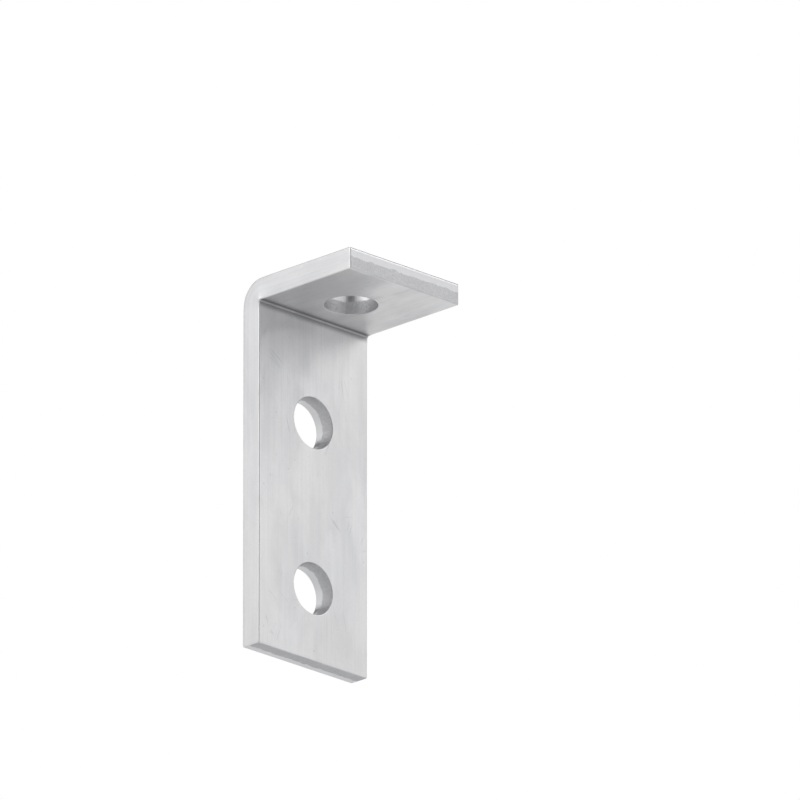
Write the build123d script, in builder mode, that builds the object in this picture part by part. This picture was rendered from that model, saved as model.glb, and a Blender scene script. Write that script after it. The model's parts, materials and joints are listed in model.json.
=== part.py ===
from build123d import *
import os

# Strut angle fitting: one strip of flat steel bar, sheared to length, punched three times and folded once.
# Millimetres. +Z runs up the leg, +Y is the outward normal of its back, and the flange runs out towards -Y.
# The origin is the centre of the leg's pair of holes, on the plane of the leg's back, at half the width.

# The bar
stock = 6.35  # thickness, 1/4 in
width = 41.275  # 1-5/8 in

# The fold
leg_length = 104.775  # 4-1/8 in, from the sheared end to the outside of the flange
flange_length = 41.275  # 1-5/8 in, from the sheared end to the outside of the leg
fold_inside_radius = 0.5  # left by the nose of the folding tool

# The punched holes
hole_diameter = 14.2875  # 9/16 in, clearance for a 1/2 in bolt
end_margin = 20.6375  # 13/16 in, from either sheared end to the nearest hole's centre
hole_pitch = 47.625  # 1-7/8 in, between the leg's two holes

# The edges. Shear and punch both came in from the outer faces, so the roll-over is there
# and the burr was on the inner faces, where tumbling took it off.
shear_roll_radius = 0.8
shear_burr_radius = 0.4
side_edge_radius = 0.35
punch_roll_radius = 0.4
punch_burr_chamfer = 0.2

# Places that follow from the sizes
leg_end_z = -(end_margin + hole_pitch / 2)
seat_z = leg_end_z + leg_length
flange_end_y = -flange_length
flange_hole_y = flange_end_y + end_margin
fold_outside_radius = fold_inside_radius + stock
hole_radius = hole_diameter / 2

leg_back = Plane(origin=(0, 0, 0), x_dir=(1, 0, 0), z_dir=(0, 1, 0))
flange_top = Plane(origin=(0, flange_hole_y, seat_z), x_dir=(1, 0, 0), z_dir=(0, 0, 1))

with BuildPart() as angle_fitting:
    # Section of the folded strip: its outer line, given the thickness of the bar on its inner side
    with BuildSketch(Plane.YZ):
        with BuildLine():
            FilletPolyline(
                (0, leg_end_z),
                (0, seat_z),
                (flange_end_y, seat_z),
                radius=fold_outside_radius,
            )
            offset(amount=stock, side=Side.LEFT)
        make_face()
        leg_corners = vertices().group_by(Axis.Y)[0].sort_by(Axis.X)
        flange_corners = vertices().group_by(Axis.X)[0].sort_by(Axis.Y)
        fillet([leg_corners[-1], flange_corners[-1]], radius=shear_roll_radius)
        fillet([leg_corners[0], flange_corners[0]], radius=shear_burr_radius)
    extrude(amount=width / 2, both=True)

    # The edges along both sides of the bar, round the fold and the sheared ends
    sides = faces().filter_by(Axis.X)
    fillet(sides.edges(), radius=side_edge_radius)

    # Two holes in the leg, punched from its back
    with Locations(leg_back):
        with GridLocations(0, hole_pitch, 1, 2):
            Hole(radius=hole_radius, depth=stock)
    leg_rims = edges(Select.LAST).filter_by(GeomType.CIRCLE).group_by(Axis.Y)
    fillet(leg_rims[-1], radius=punch_roll_radius)
    chamfer(leg_rims[0], length=punch_burr_chamfer)

    # One hole in the flange, punched from its top
    with Locations(flange_top):
        Hole(radius=hole_radius, depth=stock)
    flange_rims = edges(Select.LAST).filter_by(GeomType.CIRCLE).group_by(Axis.Z)
    fillet(flange_rims[-1], radius=punch_roll_radius)
    chamfer(flange_rims[0], length=punch_burr_chamfer)

angle_fitting.part.label = "angle_fitting"

os.makedirs("parts", exist_ok=True)
export_step(angle_fitting.part, "parts/angle_fitting.step")
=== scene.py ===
import json
import math
import bmesh
import bpy
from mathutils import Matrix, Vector


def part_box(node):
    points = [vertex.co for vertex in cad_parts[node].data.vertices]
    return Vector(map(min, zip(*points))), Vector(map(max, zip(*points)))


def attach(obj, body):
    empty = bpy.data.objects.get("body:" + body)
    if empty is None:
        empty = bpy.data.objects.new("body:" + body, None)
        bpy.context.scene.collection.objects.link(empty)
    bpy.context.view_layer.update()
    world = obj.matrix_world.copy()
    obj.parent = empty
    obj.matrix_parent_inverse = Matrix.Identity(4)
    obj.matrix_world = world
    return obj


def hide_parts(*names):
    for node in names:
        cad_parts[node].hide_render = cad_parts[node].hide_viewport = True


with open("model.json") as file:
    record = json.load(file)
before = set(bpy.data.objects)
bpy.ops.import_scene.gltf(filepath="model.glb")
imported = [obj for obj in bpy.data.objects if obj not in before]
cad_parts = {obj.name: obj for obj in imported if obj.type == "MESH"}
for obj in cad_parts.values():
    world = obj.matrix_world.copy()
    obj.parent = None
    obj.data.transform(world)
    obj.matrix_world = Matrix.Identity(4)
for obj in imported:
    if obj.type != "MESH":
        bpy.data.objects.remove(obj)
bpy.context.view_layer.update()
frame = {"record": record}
print("frame loaded")

# Sizes that the frame gives, in metres
mm = 0.001
mounts = {mount["name"]: mount for mount in frame["record"]["mounts"]}
barLow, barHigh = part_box("angle_fitting")
halfWidth = barHigh.x
legEnd = barLow.z
flangeTop = barHigh.z
flangeEnd = barLow.y
lowerHole = mounts["upright_bolt_lower"]["pos_m"][2]
upperHole = mounts["upright_bolt_upper"]["pos_m"][2]
flangeHole = mounts["beam_bolt"]["pos_m"][1]
holeRadius = mounts["beam_bolt"]["dims"]["r_mm"] * mm


# Helpers for node trees: a value is a number, a colour, or an output to link from
def put(tree, socket, value):
    if isinstance(value, bpy.types.NodeSocket):
        tree.links.new(value, socket)
    else:
        socket.default_value = value


def addNode(tree, kind, inputs=None, **settings):
    made = tree.nodes.new(kind)
    for name, value in settings.items():
        setattr(made, name, value)
    for name, value in (inputs or {}).items():
        put(tree, made.inputs[name], value)
    return made


def doMath(tree, operation, *values, clamp=False):
    made = tree.nodes.new("ShaderNodeMath")
    made.operation = operation
    made.use_clamp = clamp
    for socket, value in zip(made.inputs, values):
        put(tree, socket, value)
    return made.outputs[0]


def addUp(tree, parts):
    # the sum of several outputs, each times its number
    total = None
    for value, factor in parts:
        part = doMath(tree, "MULTIPLY", value, factor)
        total = part if total is None else doMath(tree, "ADD", total, part)
    return total


def rampUp(tree, value, low, high, toLow=0.0, toHigh=1.0):
    # toLow at low and below, toHigh at high and above, with soft ends
    inputs = {"Value": value, "From Min": low, "From Max": high, "To Min": toLow, "To Max": toHigh}
    return addNode(tree, "ShaderNodeMapRange", inputs, interpolation_type="SMOOTHSTEP").outputs["Result"]


def rampDown(tree, value, low, high):
    return rampUp(tree, value, low, high, 1.0, 0.0)


def splitUp(tree, vector):
    return addNode(tree, "ShaderNodeSeparateXYZ", {"Vector": vector}).outputs


def lengthOf(tree, vector):
    return addNode(tree, "ShaderNodeVectorMath", {0: vector}, operation="LENGTH").outputs["Value"]


def seededNoise(tree, place, scale, seed, look=None):
    inputs = {"Vector": place, "Scale": scale, "W": seed, **(look or {})}
    return addNode(tree, "ShaderNodeTexNoise", inputs, noise_dimensions="4D").outputs[0]


def stretchedNoise(tree, place, sizes, detail=2.0):
    # noise whose patches have these sizes across, through and along the bar
    scale = tuple(1 / size for size in sizes)
    spread = addNode(tree, "ShaderNodeVectorMath", {0: place, 1: scale}, operation="MULTIPLY").outputs[0]
    inputs = {"Vector": spread, "Scale": 1.0, "Detail": detail}
    return addNode(tree, "ShaderNodeTexNoise", inputs).outputs[0]


def mixColours(tree, share, first, second):
    made = addNode(tree, "ShaderNodeMix", data_type="RGBA")
    for slot, value in ((0, share), (6, first), (7, second)):
        put(tree, made.inputs[slot], value)
    return made.outputs[2]


def openGroup(kind, name, takes, gives):
    # a node group with its named inputs and outputs
    tree = bpy.data.node_groups.new(name, kind)
    for direction, sockets in (("INPUT", takes), ("OUTPUT", gives)):
        for label, socketKind in sockets:
            tree.interface.new_socket(label, in_out=direction, socket_type="NodeSocket" + socketKind)
    given = tree.nodes.new("NodeGroupInput")
    result = tree.nodes.new("NodeGroupOutput")
    return tree, given.outputs, result.inputs


def useGroup(tree, group, **inputs):
    # a placed copy of a shader group; an input's name is given in camelCase
    made = addNode(tree, "ShaderNodeGroup", node_tree=group)
    for socket in made.inputs:
        words = socket.name.split()
        name = words[0].lower() + "".join(words[1:])
        if name in inputs:
            put(tree, socket, inputs[name])
    return made.outputs


def newObject(name, data):
    made = bpy.data.objects.new(name, data)
    bpy.context.scene.collection.objects.link(made)
    return made


def evenSteps(start, end, step):
    # places from start to end, evenly spaced at about the step
    count = max(1, round(abs(end - start) / step))
    return [start + (end - start) * n / count for n in range(count + 1)]


def chain(*runs):
    # several runs of places, each starting where the last one ended
    places = list(runs[0])
    for run in runs[1:]:
        places += run[1:]
    return places


# The flat bar, before it is punched and folded. It stands where the leg is, and runs on straight up.
bar = {
    "stock": 6.35 * mm,
    "insideRadius": 0.5 * mm,
    "neutral": 0.4,  # where the bar keeps its length through the fold, from the inside, in thicknesses
    "shearRoll": 0.8 * mm,  # rounding of a sheared end where the blade went in
    "shearBurr": 0.4 * mm,  # and where it came out
    "sideRound": 0.35 * mm,  # rounding of the bar's sides
    "edgeSegments": 4,
    "grid": 1.0 * mm,
    "hold": 0.15 * mm,  # a narrow row of faces beside each rounding keeps the flats flat
    "foldGrid": 0.2 * mm,  # spacing round the fold, where the bar keeps its length
    "same": 0.0001 * mm,  # places this near are one place
}
stock = bar["stock"]
foldRadius = stock + bar["insideRadius"]
foldStart = flangeTop - foldRadius
foldArc = (bar["insideRadius"] + bar["neutral"] * stock) * math.pi / 2
flangeStart = foldStart + foldArc
flatEnd = flangeStart - foldRadius - flangeEnd
flatFlangeHole = flangeStart - foldRadius - flangeHole

# The punched holes: each has a square of the bar round it, as one mesh that is used three times
punch = {
    "halfSquare": 11.0 * mm,
    "roll": 0.4 * mm,  # rounding of the rim where the punch went in
    "burr": 0.2 * mm,  # broken edge of the rim where it came out
    "breakOut": 0.12 * mm,  # how much wider the torn part of the wall gets
    "smoothShare": 0.42,  # share of the wall that the punch left smooth
    "dish": 0.10 * mm,  # how far the bar was drawn down round the hole where the punch went in
    "dishReach": 2.6 * mm,
    "rings": 8,  # rings of faces between the square and the rim
    "rimSegments": 4,
    "wallGrid": 0.7 * mm,
}


def barPlaces():
    # the places of the flat bar's grid across it, along it and through it
    half, grid = punch["halfSquare"], bar["grid"]
    sideBand = bar["sideRound"] + bar["hold"]
    backBand = bar["shearRoll"] + bar["hold"]
    insideBand = bar["shearBurr"] + bar["hold"]
    across = chain(
        [-halfWidth, -halfWidth + sideBand],
        evenSteps(-halfWidth + sideBand, -half, grid),
        evenSteps(-half, half, grid),
        evenSteps(half, halfWidth - sideBand, grid),
        [halfWidth - sideBand, halfWidth],
    )
    along = chain(
        [legEnd, legEnd + backBand],
        evenSteps(legEnd + backBand, lowerHole - half, grid),
        evenSteps(lowerHole - half, lowerHole + half, grid),
        evenSteps(lowerHole + half, upperHole - half, grid),
        evenSteps(upperHole - half, upperHole + half, grid),
        evenSteps(upperHole + half, foldStart, grid),
        evenSteps(foldStart, flangeStart, bar["foldGrid"]),
        evenSteps(flangeStart, flatFlangeHole - half, grid),
        evenSteps(flatFlangeHole - half, flatFlangeHole + half, grid),
        evenSteps(flatFlangeHole + half, flatEnd - backBand, grid),
        [flatEnd - backBand, flatEnd],
    )
    through = chain(
        [0, -backBand],
        evenSteps(-backBand, insideBand - stock, grid),
        [insideBand - stock, -stock],
    )
    return across, along, through


def edgeRounding(edge):
    # how far an edge of the flat bar is rounded
    same = bar["same"]
    places = [v.co for v in edge.verts]
    atSide = all(abs(abs(p.x) - halfWidth) < same for p in places)
    atEnd = all(min(p.z - legEnd, flatEnd - p.z) < same for p in places)
    atBack = all(p.y > -same for p in places)
    atInside = all(p.y < same - stock for p in places)
    if atSide and (atEnd or atBack or atInside):
        return bar["sideRound"]
    if atEnd and atBack:
        return bar["shearRoll"]
    if atEnd and atInside:
        return bar["shearBurr"]
    return 0


def makeStrip():
    # the flat bar, open where the punched squares go, with its edges rounded by a modifier
    across, along, through = barPlaces()
    holes = (lowerHole, upperHole, flatFlangeHole)
    work = bmesh.new()
    cut = work.faces.layers.bool.new("cut")
    known = {}

    def corner(i, j, k):
        if (i, j, k) not in known:
            known[i, j, k] = work.verts.new((across[i], through[k], along[j]))
        return known[i, j, k]

    def inSquare(i, j):
        half = punch["halfSquare"]
        x, z = (across[i] + across[i + 1]) / 2, (along[j] + along[j + 1]) / 2
        return abs(x) < half and any(abs(z - hole) < half for hole in holes)

    lastI, lastJ, lastK = len(across) - 1, len(along) - 1, len(through) - 1
    for i in range(lastI):
        for j in range(lastJ):
            if not inSquare(i, j):
                around = ((i, j), (i, j + 1), (i + 1, j + 1), (i + 1, j))
                work.faces.new([corner(a, b, 0) for a, b in around])
                work.faces.new([corner(a, b, lastK) for a, b in reversed(around)])
    for k in range(lastK):
        for j in range(lastJ):
            around = ((j, k), (j, k + 1), (j + 1, k + 1), (j + 1, k))
            work.faces.new([corner(0, b, c) for b, c in around])
            work.faces.new([corner(lastI, b, c) for b, c in reversed(around)])
        for i in range(lastI):
            around = ((i, k), (i, k + 1), (i + 1, k + 1), (i + 1, k))
            work.faces.new([corner(a, 0, c) for a, c in reversed(around)])[cut] = True
            work.faces.new([corner(a, lastJ, c) for a, c in around])[cut] = True

    # each edge's rounding goes to the bevel as a share of the largest
    weights = work.edges.layers.float.new("bevel_weight_edge")
    for edge in work.edges:
        edge[weights] = edgeRounding(edge) / bar["shearRoll"]
    mesh = bpy.data.meshes.new("flatBar")
    work.to_mesh(mesh)
    work.free()
    made = newObject("flatBar", mesh)
    rounding = made.modifiers.new("roundedEdges", "BEVEL")
    rounding.limit_method = "WEIGHT"
    rounding.offset_type = "OFFSET"
    rounding.width = bar["shearRoll"]
    rounding.segments = bar["edgeSegments"]
    return made


def punchedProfile():
    # the hole's profile from the bar's back through to its inside: radius, depth, and whether it is cut
    roll, burr, hold, dish = punch["roll"], punch["burr"], bar["hold"], punch["dish"]
    wallStart = -roll - dish
    wallEnd = burr - stock
    tearStart = wallStart + punch["smoothShare"] * (wallEnd - wallStart)
    profile = [(holeRadius + roll + hold, -dish, False)]
    for n in range(punch["rimSegments"] + 1):
        turn = n / punch["rimSegments"] * math.pi / 2
        radius = holeRadius + roll * (1 - math.sin(turn))
        profile.append((radius, roll * (math.cos(turn) - 1) - dish, False))
    profile += [(holeRadius, y, True) for y in evenSteps(wallStart - hold, tearStart, punch["wallGrid"])]
    for y in [*evenSteps(tearStart, wallEnd + hold, punch["wallGrid"])[1:], wallEnd]:
        share = (y - tearStart) / (wallEnd - tearStart)
        profile.append((holeRadius + punch["breakOut"] * share, y, True))
    profile.append((profile[-1][0] + burr, -stock, True))
    profile.append((profile[-1][0] + hold, -stock, False))
    return profile


def makePunchedSquare():
    # rings of faces from the square's border in to the hole, through it, and out again on the inside
    half = punch["halfSquare"]
    side = evenSteps(-half, half, bar["grid"])[:-1]
    square = [(s, -half) for s in side] + [(half, s) for s in side]
    square += [(-s, half) for s in side] + [(-half, -s) for s in side]
    work = bmesh.new()
    cut = work.faces.layers.bool.new("cut")

    def ring(share, radius, depth, dip=0):
        # share 0 is the square, 1 the circle
        made = []
        for x, z in square:
            turn = math.atan2(z, x)
            atX = x + (radius * math.cos(turn) - x) * share
            atZ = z + (radius * math.sin(turn) - z) * share
            near = max(0, 1 - (math.hypot(atX, atZ) - radius) / punch["dishReach"])
            made.append(work.verts.new((atX, depth - dip * near * near, atZ)))
        return made

    profile = punchedProfile()
    shares = [n / punch["rings"] for n in range(punch["rings"])]
    rings = [(ring(share, profile[0][0], 0, punch["dish"]), False) for share in shares]
    rings += [(ring(1, radius, depth), isCut) for radius, depth, isCut in profile]
    rings += [(ring(share, profile[-1][0], -stock), False) for share in reversed(shares)]
    for (first, _), (second, isCut) in zip(rings, rings[1:]):
        for n, start in enumerate(first):
            m = (n + 1) % len(first)
            work.faces.new((start, second[n], second[m], first[m]))[cut] = isCut
    mesh = bpy.data.meshes.new("punchedSquare")
    work.to_mesh(mesh)
    work.free()
    return newObject("punchedSquare", mesh)


strip = makeStrip()
punchedSquare = makePunchedSquare()
print("flat bar and punched square made")

# The tree sets the punched squares in the bar, folds the bar, and gives each surface its finish
fold = {
    "Fold Angle": math.pi / 2,
    "Inside Bulge": 0.30 * mm,  # how far the squeezed inside of the fold swells past each side
    "Outside Draw": 0.18 * mm,  # how far the stretched outside draws in
    "Bulge Reach": 6.0 * mm,  # how far in from each side that is felt
    "Bulge Run Out": 3.0 * mm,  # and how far past the fold along the bar
    "Unevenness": 0.05 * mm,  # how far the whole surface wanders, from its lowest to its highest
    "Uneven Scale": 70.0,
    "Weld": 0.01 * mm,  # corners this near become one
    "Seed": 5.0,
}


def setInSquares(tree, given):
    # a point where each hole is punched, and the punched square on each, welded to the bar
    holes = ("Lower Hole", "Upper Hole", "Flange Hole")
    place = addNode(tree, "GeometryNodeIndexSwitch", data_type="FLOAT")
    place.index_switch_items.new()
    put(tree, place.inputs["Index"], tree.nodes.new("GeometryNodeInputIndex").outputs[0])
    for n, name in enumerate(holes):
        put(tree, place.inputs[n + 1], given[name])
    centre = addNode(tree, "ShaderNodeCombineXYZ", {"Z": place.outputs[0]}).outputs[0]
    points = addNode(tree, "GeometryNodePoints", {"Count": len(holes), "Position": centre}).outputs[0]
    square = {"Object": given["Punched Square"]}
    square = addNode(tree, "GeometryNodeObjectInfo", square).outputs["Geometry"]
    squares = addNode(tree, "GeometryNodeInstanceOnPoints", {"Points": points, "Instance": square})
    squares = addNode(tree, "GeometryNodeRealizeInstances", {"Geometry": squares.outputs[0]})
    joined = tree.nodes.new("GeometryNodeJoinGeometry")
    put(tree, joined.inputs[0], given["Flat Bar"])
    put(tree, joined.inputs[0], squares.outputs[0])
    welded = {"Geometry": joined.outputs[0], "Distance": given["Weld"]}
    return addNode(tree, "GeometryNodeMergeByDistance", welded).outputs[0]


def swellSides(tree, given, into, x, y):
    # the sides swell on the squeezed inside of the fold and draw in on its stretched outside
    halfFold = doMath(tree, "MULTIPLY", given["Fold Length"], 0.5)
    fromMiddle = doMath(tree, "ABSOLUTE", doMath(tree, "SUBTRACT", into, halfFold))
    runOut = doMath(tree, "ADD", halfFold, given["Bulge Run Out"])
    atFold = rampUp(tree, doMath(tree, "SUBTRACT", runOut, fromMiddle), 0.0, runOut)
    fromSide = doMath(tree, "SUBTRACT", given["Half Width"], doMath(tree, "ABSOLUTE", x))
    nearSide = doMath(tree, "SUBTRACT", given["Bulge Reach"], fromSide)
    atSide = rampUp(tree, nearSide, 0.0, given["Bulge Reach"])
    depth = doMath(tree, "DIVIDE", doMath(tree, "MULTIPLY", y, -1.0), given["Stock"], clamp=True)
    wholeSwell = doMath(tree, "ADD", given["Inside Bulge"], given["Outside Draw"])
    swell = doMath(tree, "MULTIPLY", depth, wholeSwell)
    swell = doMath(tree, "SUBTRACT", swell, given["Outside Draw"])
    swell = doMath(tree, "MULTIPLY", doMath(tree, "MULTIPLY", swell, atFold), atSide)
    return doMath(tree, "ADD", x, doMath(tree, "MULTIPLY", swell, doMath(tree, "SIGN", x)))


def foldPlaces(tree, given, position):
    # each place of the flat bar keeps its distance from the bar's back as it goes round the fold
    x, y, z = splitUp(tree, position)
    into = doMath(tree, "SUBTRACT", z, given["Fold Start"])
    share = doMath(tree, "DIVIDE", into, given["Fold Length"], clamp=True)
    turn = doMath(tree, "MULTIPLY", share, given["Fold Angle"])
    before = doMath(tree, "MINIMUM", into, 0.0)
    beyond = doMath(tree, "MAXIMUM", doMath(tree, "SUBTRACT", into, given["Fold Length"]), 0.0)
    centreDepth = doMath(tree, "ADD", given["Inside Radius"], given["Stock"])
    reach = doMath(tree, "ADD", y, centreDepth)
    cosine, sine = doMath(tree, "COSINE", turn), doMath(tree, "SINE", turn)
    newX = swellSides(tree, given, into, x, y)
    outwards = doMath(tree, "MULTIPLY", sine, -1.0)
    newY = addUp(tree, [(reach, cosine), (beyond, outwards), (centreDepth, -1.0)])
    newZ = addUp(tree, [(reach, sine), (beyond, cosine), (before, 1.0), (given["Fold Start"], 1.0)])
    return addNode(tree, "ShaderNodeCombineXYZ", {"X": newX, "Y": newY, "Z": newZ}).outputs[0]


def makeFoldTree():
    sizes = ["Lower Hole", "Upper Hole", "Flange Hole", "Fold Start", "Fold Length", "Stock"]
    sizes += ["Inside Radius", "Half Width", *fold]
    takes = [("Flat Bar", "Geometry"), ("Punched Square", "Object")] + [(size, "Float") for size in sizes]
    takes += [("Rolled Finish", "Material"), ("Cut Finish", "Material")]
    tree, given, result = openGroup("GeometryNodeTree", "punchAndFold", takes, [("Fitting", "Geometry")])

    # the flat bar's own places stay on the surface, for what runs along the bar and round the fold
    position = tree.nodes.new("GeometryNodeInputPosition").outputs[0]
    kept = addNode(tree, "GeometryNodeStoreNamedAttribute", data_type="FLOAT_VECTOR", domain="POINT")
    for name, value in (("Geometry", setInSquares(tree, given)), ("Name", "barPlace"), ("Value", position)):
        put(tree, kept.inputs[name], value)
    folded = foldPlaces(tree, given, position)
    bent = addNode(tree, "GeometryNodeSetPosition", {"Geometry": kept.outputs[0], "Position": folded})

    # rolled bar is never quite flat
    uneven = seededNoise(tree, position, given["Uneven Scale"], given["Seed"])
    uneven = doMath(tree, "MULTIPLY", doMath(tree, "SUBTRACT", uneven, 0.5), given["Unevenness"])
    normal = tree.nodes.new("GeometryNodeInputNormal").outputs[0]
    push = addNode(tree, "ShaderNodeVectorMath", {0: normal, "Scale": uneven}, operation="SCALE").outputs[0]
    rolled = addNode(tree, "GeometryNodeSetPosition", {"Geometry": bent.outputs[0], "Offset": push})
    smooth = addNode(tree, "GeometryNodeSetShadeSmooth", {"Geometry": rolled.outputs[0]})
    real = addNode(tree, "GeometryNodeRealizeInstances", {"Geometry": smooth.outputs[0]})
    faces = {"Geometry": real.outputs[0], "Material": given["Rolled Finish"]}
    faces = addNode(tree, "GeometryNodeSetMaterial", faces)
    cut = addNode(tree, "GeometryNodeInputNamedAttribute", {"Name": "cut"}, data_type="BOOLEAN").outputs[0]
    last = {"Geometry": faces.outputs[0], "Selection": cut, "Material": given["Cut Finish"]}
    put(tree, result["Fitting"], addNode(tree, "GeometryNodeSetMaterial", last).outputs[0])
    return tree


# How the groups shape their patterns. The patterns' sizes, places and seeds come in from the finishes.
patterns = {
    "patchDraw": (1.0, 1.0, 0.4),  # the last number draws the patches out along the bar
    "patchLook": {"Detail": 4.0, "Roughness": 0.62, "Distortion": 0.4},
    "patchFade": (0.3, 0.7),  # noise at which a patch starts and is at its full
    "wearLook": {"Detail": 3.0},
    "wearFade": (0.1, 0.55),
    "stretchedPart": 0.3,  # share of the bar's thickness that shows its stretching at the fold
    "pitSizes": (0.5, 1.15),  # the smallest and the largest pit, for a pit size of 1
    "scratchFade": (0.6, 0.72),
    "courseSeeds": 7.3,  # from the seed of one course of scratches to the next
}


def makeMottleGroup():
    # the cloudy tone of zinc plate: broad patches, drawn out along the bar, and fine grain in them
    takes = [("Place", "Vector"), ("Patch Scale", "Float"), ("Grain Scale", "Float"), ("Seed", "Float")]
    gives = [("Patches", "Float"), ("Grain", "Float")]
    tree, given, result = openGroup("ShaderNodeTree", "zincMottle", takes, gives)
    drawn = {0: given["Place"], 1: patterns["patchDraw"]}
    drawn = addNode(tree, "ShaderNodeVectorMath", drawn, operation="MULTIPLY").outputs[0]
    patches = seededNoise(tree, drawn, given["Patch Scale"], given["Seed"], patterns["patchLook"])
    put(tree, result["Patches"], rampUp(tree, patches, *patterns["patchFade"]))
    put(tree, result["Grain"], seededNoise(tree, given["Place"], given["Grain Scale"], given["Seed"]))
    return tree


def makeEdgeGroup():
    # rubbing, in broken patches along the edges of the bar and the rims of the holes
    sizes = ["Half Width", "Leg End", "Flange End", "Stock", "Lower Hole", "Upper Hole", "Flange Hole"]
    sizes += ["Hole Radius", "Wear Width", "Broken Scale", "Seed"]
    takes = [("Place", "Vector")] + [(size, "Float") for size in sizes]
    tree, given, result = openGroup("ShaderNodeTree", "edgeWear", takes, [("Wear", "Float")])
    x, y, z = splitUp(tree, given["Place"])
    outline = doMath(tree, "SUBTRACT", given["Half Width"], doMath(tree, "ABSOLUTE", x))
    outline = doMath(tree, "MINIMUM", outline, doMath(tree, "SUBTRACT", z, given["Leg End"]))
    outline = doMath(tree, "MINIMUM", outline, doMath(tree, "SUBTRACT", given["Flange End"], z))
    for name in ("Lower Hole", "Upper Hole", "Flange Hole"):
        fromCentre = {"X": x, "Y": doMath(tree, "SUBTRACT", z, given[name])}
        fromCentre = lengthOf(tree, addNode(tree, "ShaderNodeCombineXYZ", fromCentre).outputs[0])
        fromRim = doMath(tree, "SUBTRACT", fromCentre, given["Hole Radius"])
        outline = doMath(tree, "MINIMUM", outline, doMath(tree, "MAXIMUM", fromRim, 0.0))
    fromBack = doMath(tree, "MULTIPLY", y, -1.0)
    fromInside = doMath(tree, "ADD", y, given["Stock"])
    fromFace = doMath(tree, "MAXIMUM", doMath(tree, "MINIMUM", fromBack, fromInside), 0.0)
    away = doMath(tree, "ADD", doMath(tree, "MAXIMUM", outline, 0.0), fromFace)
    close = doMath(tree, "SUBTRACT", 1.0, doMath(tree, "DIVIDE", away, given["Wear Width"]), clamp=True)
    broken = seededNoise(tree, given["Place"], given["Broken Scale"], given["Seed"], patterns["wearLook"])
    broken = doMath(tree, "MULTIPLY", close, broken)
    put(tree, result["Wear"], rampUp(tree, broken, *patterns["wearFade"]))
    return tree


def makeFoldGroup():
    # what folding left: the inside corner, where painted shade darkens the colour and thinner zinc makes it
    # rougher, and a stretched outside
    sizes = ["Fold Start", "Fold Length", "Stock", "Half Width", "Corner Reach", "Inside Band", "Side Band"]
    takes = [("Place", "Vector")] + [(size, "Float") for size in sizes]
    gives = [("Corner", "Float"), ("Stretched", "Float")]
    tree, given, result = openGroup("ShaderNodeTree", "foldMarks", takes, gives)
    x, y, z = splitUp(tree, given["Place"])
    halfFold = doMath(tree, "MULTIPLY", given["Fold Length"], 0.5)
    middle = doMath(tree, "ADD", given["Fold Start"], halfFold)
    fromMiddle = doMath(tree, "ABSOLUTE", doMath(tree, "SUBTRACT", z, middle))
    pastFold = doMath(tree, "SUBTRACT", fromMiddle, halfFold)
    depth = doMath(tree, "MULTIPLY", y, -1.0)
    fromInside = doMath(tree, "SUBTRACT", given["Stock"], depth)
    fromSide = doMath(tree, "SUBTRACT", given["Half Width"], doMath(tree, "ABSOLUTE", x))
    corner = rampDown(tree, pastFold, 0.0, given["Corner Reach"])
    corner = doMath(tree, "MULTIPLY", corner, rampDown(tree, fromInside, 0.0, given["Inside Band"]))
    corner = doMath(tree, "MULTIPLY", corner, rampUp(tree, fromSide, 0.0, given["Side Band"]))
    put(tree, result["Corner"], corner)
    outerPart = doMath(tree, "MULTIPLY", given["Stock"], patterns["stretchedPart"])
    stretched = rampUp(tree, fromMiddle, halfFold, 0.0)
    stretched = doMath(tree, "MULTIPLY", stretched, rampDown(tree, depth, 0.0, outerPart))
    put(tree, result["Stretched"], stretched)
    return tree


def makePitGroup():
    # round hollows of several sizes, in a share of the cells of a pattern
    takes = [("Place", "Vector"), ("Scale", "Float"), ("Size", "Float"), ("Share", "Float")]
    tree, given, result = openGroup("ShaderNodeTree", "pits", takes, [("Pits", "Float")])
    cells = {"Vector": given["Place"], "Scale": given["Scale"]}
    cells = addNode(tree, "ShaderNodeTexVoronoi", cells).outputs
    chances = addNode(tree, "ShaderNodeSeparateColor", {"Color": cells["Color"]}).outputs
    size = rampUp(tree, chances[1], 0.0, 1.0, *patterns["pitSizes"])
    size = doMath(tree, "MULTIPLY", given["Size"], size)
    hollow = rampDown(tree, cells["Distance"], 0.0, size)
    chosen = doMath(tree, "LESS_THAN", chances[0], given["Share"])
    put(tree, result["Pits"], doMath(tree, "MULTIPLY", hollow, chosen))
    return tree


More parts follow.
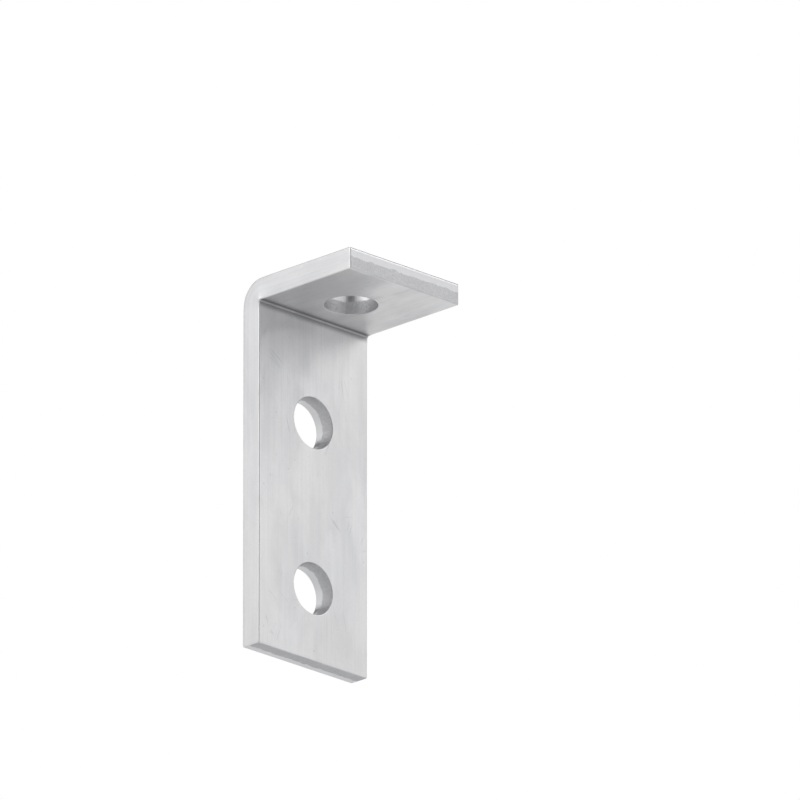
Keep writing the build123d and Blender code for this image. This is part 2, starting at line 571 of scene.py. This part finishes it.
def makeScuffGroup(courses):
    # thin handling scratches on the bar's two wide faces, that run several ways in short lengths
    takes = [("Place", "Vector"), ("Half Width", "Float"), ("Side Clear", "Float"), ("Scale", "Float")]
    takes += [("Line Width", "Float"), ("Break Scale", "Float"), ("Seed", "Float")]
    tree, given, result = openGroup("ShaderNodeTree", "scuffs", takes, [("Scratches", "Float")])
    total = None
    for n, (turn, stretch) in enumerate(courses):
        # the wide faces lie across the bar's thickness, so the scratches turn about that
        turned = {"Vector": given["Place"], "Rotation": (0.0, turn, 0.0), "Scale": (1.0, 1.0, stretch)}
        turned = addNode(tree, "ShaderNodeMapping", turned, vector_type="TEXTURE").outputs[0]
        line = {"Vector": turned, "Scale": given["Scale"]}
        line = addNode(tree, "ShaderNodeTexVoronoi", line, feature="DISTANCE_TO_EDGE").outputs[0]
        line = rampDown(tree, line, 0.0, given["Line Width"])
        ownSeed = doMath(tree, "ADD", given["Seed"], n * patterns["courseSeeds"])
        shown = seededNoise(tree, given["Place"], given["Break Scale"], ownSeed)
        shown = rampUp(tree, shown, *patterns["scratchFade"])
        line = doMath(tree, "MULTIPLY", line, shown)
        total = line if total is None else doMath(tree, "MAXIMUM", total, line)
    fromSide = doMath(tree, "ABSOLUTE", splitUp(tree, given["Place"])[0])
    fromSide = doMath(tree, "SUBTRACT", given["Half Width"], fromSide)
    sideClear = given["Side Clear"]
    wide = rampUp(tree, fromSide, sideClear, doMath(tree, "MULTIPLY", sideClear, 2.0))
    put(tree, result["Scratches"], doMath(tree, "MULTIPLY", total, wide))
    return tree


# The zinc as both finishes have it. Colours are linear, and heights and depths are in millimetres.
zinc = {
    "dark": (0.600, 0.604, 0.622, 1.0),
    "light": (0.755, 0.755, 0.765, 1.0),
    "burnished": (0.760, 0.760, 0.765, 1.0),
    "torn": (0.470, 0.470, 0.485, 1.0),
    "patchScale": 110.0,
    "grainScale": 1500.0,
    "grainHeight": 0.007,
    "wearWidth": 1.0 * mm,
    "wearScale": 260.0,
    "seed": 3.0,
}

# The rolled faces and sides of the bar
rolled = {
    "warm": (0.700, 0.690, 0.665, 1.0),
    "scratched": (0.460, 0.465, 0.480, 1.0),
    # painted shade: the dark colour mixed into the fold's inside corner
    "dull": (0.300, 0.300, 0.315, 1.0),
    # how much of each goes into the zinc's tone, which runs from dark at 0 to light at 1
    "tone": {"patches": 0.35, "lines": 0.75, "grain": 0.5, "less": 0.3},
    # how strongly each mark colours the zinc
    "share": {"warm": 0.22, "scratches": 0.6, "pits": 0.6, "wear": 0.2, "corner": 0.75},
    "warmScale": 38.0,
    "warmSeed": 11.0,
    "lines": {"sizes": (0.5 * mm, 0.5 * mm, 30 * mm), "detail": 4.0},
    "lineHeight": 0.008,
    "pits": {"scale": 420.0, "size": 0.26, "share": 0.12},
    "pitDepth": 0.03,
    "dents": {"scale": 85.0, "size": 0.12, "share": 0.2},
    "dentDepth": 0.03,
    "scuffs": {"scale": 240.0, "lineWidth": 0.02, "breakScale": 120.0, "sideClear": 0.4 * mm},
    "scuffCourses": ((0.35, 26.0), (1.25, 18.0), (2.2, 34.0), (2.9, 22.0)),  # turn, and how drawn out
    "scratchDepth": 0.008,
    "peel": {"sizes": (1.1 * mm, 0.8 * mm, 0.5 * mm)},
    "peelHeight": 0.05,
    # how far the painted shade in the fold's inside corner reaches
    "corner": {"cornerReach": 1.9 * mm, "insideBand": 0.4 * mm, "sideBand": 0.6 * mm},
    "dullRough": 0.41,  # roughness of the dark patches
    "brightRough": 0.29,  # and of the light ones
    "rough": {"grain": 0.12, "wear": -0.10, "corner": 0.14},  # what each mark adds to it
}

# The sheared ends and the walls of the holes
cut = {
    "smooth": (0.66, 0.66, 0.67, 1.0),
    "patchScale": 220.0,
    "seed": 7.0,
    "streaks": {"sizes": (0.35 * mm, 9 * mm, 0.35 * mm), "detail": 3.0},
    "streakHeight": 0.025,
    "ragged": {"sizes": (1.8 * mm, 9 * mm, 1.8 * mm), "detail": 4.0},
    "raggedReach": 1.6 * mm,  # how far the line between the smooth and the torn band wanders
    "tearSoft": (-0.1 * mm, 0.15 * mm),  # from before that line to past it, the torn band comes in
    "rubble": {"sizes": (0.5 * mm, 0.8 * mm, 0.5 * mm), "detail": 3.0},
    "rubbleHeight": 0.12,
    "tornDrop": 0.06,  # how far the torn band lies below the smooth one
    "wearShare": 0.4,
    "smoothRough": 0.26,
    "rough": {"torn": 0.2, "patches": 0.06, "streaks": 0.08},
}
mottleGroup = makeMottleGroup()
edgeGroup = makeEdgeGroup()
foldGroup = makeFoldGroup()
pitGroup = makePitGroup()
scuffGroup = makeScuffGroup(rolled["scuffCourses"])


def startMaterial(name):
    # a metal whose patterns follow the flat bar's own places
    made = bpy.data.materials.new(name)
    made.use_nodes = True
    tree = made.node_tree
    shader = tree.nodes["Principled BSDF"]
    shader.inputs["Metallic"].default_value = 1.0
    place = addNode(tree, "ShaderNodeAttribute", attribute_name="barPlace").outputs["Vector"]
    return made, tree, shader, place


def findWear(tree, place):
    sizes = dict(halfWidth=halfWidth, legEnd=legEnd, flangeEnd=flatEnd, stock=stock)
    holes = dict(lowerHole=lowerHole, upperHole=upperHole, flangeHole=flatFlangeHole, holeRadius=holeRadius)
    wear = dict(wearWidth=zinc["wearWidth"], brokenScale=zinc["wearScale"], seed=zinc["seed"])
    return useGroup(tree, edgeGroup, place=place, **sizes, **holes, **wear)["Wear"]


def findFold(tree, place):
    sizes = dict(foldStart=foldStart, foldLength=foldArc, stock=stock, halfWidth=halfWidth)
    return useGroup(tree, foldGroup, place=place, **sizes, **rolled["corner"])


def setHeight(tree, shader, parts):
    bump = {"Strength": 1.0, "Distance": mm, "Height": addUp(tree, parts)}
    put(tree, shader.inputs["Normal"], addNode(tree, "ShaderNodeBump", bump).outputs[0])


def makeRolledFinish():
    made, tree, shader, place = startMaterial("zincOnRolledBar")
    mottle = dict(patchScale=zinc["patchScale"], grainScale=zinc["grainScale"], seed=zinc["seed"])
    patches, grain = useGroup(tree, mottleGroup, place=place, **mottle)
    mottle = dict(patchScale=rolled["warmScale"], seed=rolled["warmSeed"])
    warmth = useGroup(tree, mottleGroup, place=place, **mottle)["Patches"]
    wear = findWear(tree, place)
    # corner is the mask for the painted shade in the fold's inside corner
    corner, stretched = findFold(tree, place)
    scuffs = dict(halfWidth=halfWidth, seed=zinc["seed"], **rolled["scuffs"])
    scratches = useGroup(tree, scuffGroup, place=place, **scuffs)["Scratches"]
    pits = useGroup(tree, pitGroup, place=place, **rolled["pits"])["Pits"]
    dents = useGroup(tree, pitGroup, place=place, **rolled["dents"])["Pits"]
    lines = stretchedNoise(tree, place, **rolled["lines"])
    peel = doMath(tree, "MULTIPLY", stretched, stretchedNoise(tree, place, **rolled["peel"]))

    share, tone = rolled["share"], rolled["tone"]
    light = addUp(tree, [(patches, tone["patches"]), (lines, tone["lines"]), (grain, tone["grain"])])
    light = doMath(tree, "SUBTRACT", light, tone["less"])
    colour = mixColours(tree, light, zinc["dark"], zinc["light"])
    for mask, strength, other in (
        (warmth, share["warm"], rolled["warm"]),
        (scratches, share["scratches"], rolled["scratched"]),
        (pits, share["pits"], zinc["torn"]),
        (wear, share["wear"], zinc["burnished"]),
        # the corner mask darkens the fold's inside corner with painted shade
        (corner, share["corner"], rolled["dull"]),
    ):
        colour = mixColours(tree, doMath(tree, "MULTIPLY", mask, strength), colour, other)
    put(tree, shader.inputs["Base Color"], colour)

    more = rolled["rough"]
    rough = rampUp(tree, patches, 0.0, 1.0, rolled["dullRough"], rolled["brightRough"])
    rough = [(rough, 1.0), (grain, more["grain"]), (wear, more["wear"]), (corner, more["corner"])]
    put(tree, shader.inputs["Roughness"], addUp(tree, rough))
    heights = [(grain, zinc["grainHeight"]), (lines, rolled["lineHeight"]), (peel, rolled["peelHeight"])]
    heights += [(pits, -rolled["pitDepth"]), (dents, -rolled["dentDepth"])]
    heights += [(scratches, -rolled["scratchDepth"])]
    setHeight(tree, shader, heights)
    return made


def makeCutFinish():
    made, tree, shader, place = startMaterial("zincOnCutSteel")
    mottle = dict(patchScale=cut["patchScale"], grainScale=zinc["grainScale"], seed=cut["seed"])
    patches, grain = useGroup(tree, mottleGroup, place=place, **mottle)
    wear = findWear(tree, place)

    # through the bar's thickness the shear and the punch left a smooth band and then a torn one
    streaks = stretchedNoise(tree, place, **cut["streaks"])
    ragged = stretchedNoise(tree, place, **cut["ragged"])
    rubble = stretchedNoise(tree, place, **cut["rubble"])
    edge = doMath(tree, "MULTIPLY", doMath(tree, "SUBTRACT", ragged, 0.5), cut["raggedReach"])
    edge = doMath(tree, "SUBTRACT", edge, splitUp(tree, place)[1])
    tearStart = punch["smoothShare"] * stock
    tearFrom, tearTo = (tearStart + soft for soft in cut["tearSoft"])
    torn = rampUp(tree, edge, tearFrom, tearTo)

    smoothPart = mixColours(tree, streaks, zinc["dark"], cut["smooth"])
    tornPart = mixColours(tree, rubble, zinc["torn"], zinc["dark"])
    colour = mixColours(tree, torn, smoothPart, tornPart)
    colour = mixColours(tree, doMath(tree, "MULTIPLY", wear, cut["wearShare"]), colour, zinc["burnished"])
    put(tree, shader.inputs["Base Color"], colour)
    more = cut["rough"]
    rough = addUp(tree, [(torn, more["torn"]), (patches, more["patches"]), (streaks, more["streaks"])])
    put(tree, shader.inputs["Roughness"], doMath(tree, "ADD", rough, cut["smoothRough"]))
    tornHeight = doMath(tree, "MULTIPLY", torn, rubble)
    heights = [(grain, zinc["grainHeight"]), (streaks, cut["streakHeight"])]
    heights += [(tornHeight, cut["rubbleHeight"]), (torn, -cut["tornDrop"])]
    setHeight(tree, shader, heights)
    return made


rolledFinish = makeRolledFinish()
cutFinish = makeCutFinish()
print("finishes made")


def foldTheBar():
    # the tree's result, kept as a plain mesh
    tree = makeFoldTree()
    maker = strip.modifiers.new("punchAndFold", "NODES")
    maker.node_group = tree
    values = {
        "Punched Square": punchedSquare,
        "Lower Hole": lowerHole,
        "Upper Hole": upperHole,
        "Flange Hole": flatFlangeHole,
        "Fold Start": foldStart,
        "Fold Length": foldArc,
        "Stock": stock,
        "Inside Radius": bar["insideRadius"],
        "Half Width": halfWidth,
        "Rolled Finish": rolledFinish,
        "Cut Finish": cutFinish,
        **fold,
    }
    for socket in tree.interface.items_tree:
        if socket.in_out == "INPUT" and socket.name in values:
            maker[socket.identifier] = values[socket.name]
    view = bpy.context.evaluated_depsgraph_get()
    mesh = bpy.data.meshes.new_from_object(strip.evaluated_get(view), depsgraph=view)
    mesh.name = "zincPlatedAngle"
    for used in (strip, punchedSquare):
        bpy.data.objects.remove(used)
    return newObject("zincPlatedAngle", mesh)


fitting = foldTheBar()
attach(fitting, "root")
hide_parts("angle_fitting")
print("bar folded:", len(fitting.data.polygons), "faces")

# The stage: a pale floor that fades out into a white world
stage = {
    "floorGap": 0.3 * mm,  # between the floor and the leg's end
    "floorRadius": 0.6,
    "floorSides": 96,
    "floorColour": (0.86, 0.86, 0.86, 1.0),
    "fadeFrom": 0.16,  # how far out from the origin the floor starts to fade
    "fadeTo": 0.5,  # and where it is gone
    "world": (1.0, 1.0, 1.0, 1.0),
    "worldStrength": 1.0,
}

# Two soft lamps. Brightness is what a lamp's reflection shows, where the world shows 1.
lamps = {
    "keyLamp": dict(direction=(0.45, -0.52, 0.72), distance=0.60, width=0.30, height=0.30, brightness=1.15),
    "backLamp": dict(direction=(-0.80, 0.30, 0.52), distance=0.70, width=0.30, height=0.30, brightness=1.2),
}

# Grey cards that only the metal reflects, to give its faces and edges their tones
cards = {
    "cardBehindCamera": dict(
        direction=(-0.664, -0.664, 0.342), distance=0.50, width=0.36, height=0.44, grey=0.06
    ),
    "cardBehindLeft": dict(direction=(0.05, 0.96, 0.26), distance=0.55, width=0.20, height=0.50, grey=0.2),
    "cardBehindRight": dict(direction=(0.96, 0.05, 0.26), distance=0.55, width=0.18, height=0.50, grey=0.2),
    "cardTop": dict(direction=(0.35, 0.35, 0.87), distance=0.50, width=0.30, height=0.22, grey=0.3),
    "cardTopLeft": dict(direction=(-0.04, 0.66, 0.75), distance=0.50, width=0.22, height=0.24, grey=0.12),
    "cardTopRight": dict(direction=(0.66, -0.02, 0.75), distance=0.50, width=0.20, height=0.24, grey=0.12),
    "cardBelow": dict(direction=(0.0, 0.0, -1.0), distance=0.25, width=2.0, height=2.0, grey=0.92),
    "cardLowFront": dict(direction=(-0.64, -0.64, -0.42), distance=0.45, width=0.60, height=0.30, grey=0.55),
}


def makeFloor():
    work = bmesh.new()
    sides, radius = stage["floorSides"], stage["floorRadius"]
    bmesh.ops.create_circle(work, cap_ends=True, segments=sides, radius=radius)
    bmesh.ops.translate(work, verts=work.verts, vec=(0, flangeEnd / 2, legEnd - stage["floorGap"]))
    mesh = bpy.data.meshes.new("floor")
    work.to_mesh(mesh)
    work.free()
    made = bpy.data.materials.new("paleFloor")
    made.use_nodes = True
    tree = made.node_tree
    tree.nodes.clear()
    place = tree.nodes.new("ShaderNodeTexCoord").outputs["Object"]
    flat = addNode(tree, "ShaderNodeVectorMath", {0: place, 1: (1.0, 1.0, 0.0)}, operation="MULTIPLY")
    clear = rampUp(tree, lengthOf(tree, flat.outputs[0]), stage["fadeFrom"], stage["fadeTo"])
    # seen from below, as the camera does, there is no floor
    clear = doMath(tree, "MAXIMUM", clear, tree.nodes.new("ShaderNodeNewGeometry").outputs["Backfacing"])
    pale = addNode(tree, "ShaderNodeBsdfDiffuse", {"Color": stage["floorColour"]}).outputs[0]
    nothing = tree.nodes.new("ShaderNodeBsdfTransparent").outputs[0]
    shown = addNode(tree, "ShaderNodeMixShader", {0: clear, 1: pale, 2: nothing}).outputs[0]
    addNode(tree, "ShaderNodeOutputMaterial", {"Surface": shown})
    mesh.materials.append(made)
    floor = newObject("floor", mesh)
    floor.visible_glossy = False


def makeWorld():
    world = bpy.data.worlds.new("softWhite")
    bpy.context.scene.world = world
    world.use_nodes = True
    light = world.node_tree.nodes["Background"]
    light.inputs["Color"].default_value = stage["world"]
    light.inputs["Strength"].default_value = stage["worldStrength"]


def aimAtFitting(thing, direction, distance):
    middle = Vector((0, flangeEnd / 2, (legEnd + flangeTop) / 2))
    towards = Vector(direction).normalized()
    thing.location = middle + towards * distance
    thing.rotation_mode = "QUATERNION"
    thing.rotation_quaternion = (-towards).to_track_quat("-Z", "Y")


def addLamp(name, direction, distance, width, height, brightness):
    lamp = bpy.data.lights.new(name, "AREA")
    lamp.shape = "RECTANGLE"
    lamp.size, lamp.size_y = width, height
    lamp.energy = brightness * math.pi * width * height
    aimAtFitting(newObject(name, lamp), direction, distance)


def addCard(name, direction, distance, width, height, grey):
    mesh = bpy.data.meshes.new(name)
    corners = [(x * width / 2, y * height / 2, 0) for x, y in ((-1, -1), (1, -1), (1, 1), (-1, 1))]
    mesh.from_pydata(corners, [], [(0, 1, 2, 3)])
    made = bpy.data.materials.new(name)
    made.use_nodes = True
    tree = made.node_tree
    tree.nodes.clear()
    light = addNode(tree, "ShaderNodeEmission", {"Color": (grey, grey, grey, 1.0), "Strength": 1.0})
    addNode(tree, "ShaderNodeOutputMaterial", {"Surface": light.outputs[0]})
    mesh.materials.append(made)
    card = newObject(name, mesh)
    aimAtFitting(card, direction, distance)
    card.visible_camera = False
    card.visible_diffuse = False
    card.visible_shadow = False


# The camera is far away behind a long lens, because the drawing has no perspective
camera = {
    "azimuth": -45.0,
    "elevation": -20.0,
    "frameWidth": 216.4 * mm,  # what the picture's width covers at the fitting
    "right": 27.9 * mm,  # from the origin to the middle of the picture
    "up": 30.1 * mm,
    "lens": 1500.0,
    "sensor": 36.0,
    "nearest": 0.5,  # what is seen, from nearest to farthest, in distances to the fitting
    "farthest": 2.0,
}


def makeCamera():
    turn, rise = math.radians(camera["azimuth"]), math.radians(camera["elevation"])
    back = Vector((math.sin(turn) * math.cos(rise), -math.cos(turn) * math.cos(rise), math.sin(rise)))
    right = Vector((math.cos(turn), math.sin(turn), 0))
    aim = right * camera["right"] + back.cross(right) * camera["up"]
    data = bpy.data.cameras.new("camera")
    data.lens = camera["lens"]
    data.sensor_width = camera["sensor"]
    distance = camera["frameWidth"] * camera["lens"] / camera["sensor"]
    data.clip_start = distance * camera["nearest"]
    data.clip_end = distance * camera["farthest"]
    made = newObject("camera", data)
    made.location = aim + back * distance
    made.rotation_mode = "QUATERNION"
    made.rotation_quaternion = (-back).to_track_quat("-Z", "Y")
    bpy.context.scene.camera = made


makeFloor()
makeWorld()
for name, settings in lamps.items():
    addLamp(name, **settings)
for name, settings in cards.items():
    addCard(name, **settings)
makeCamera()
bpy.context.scene.view_settings.view_transform = "Standard"
print("stage, lamps and camera made")
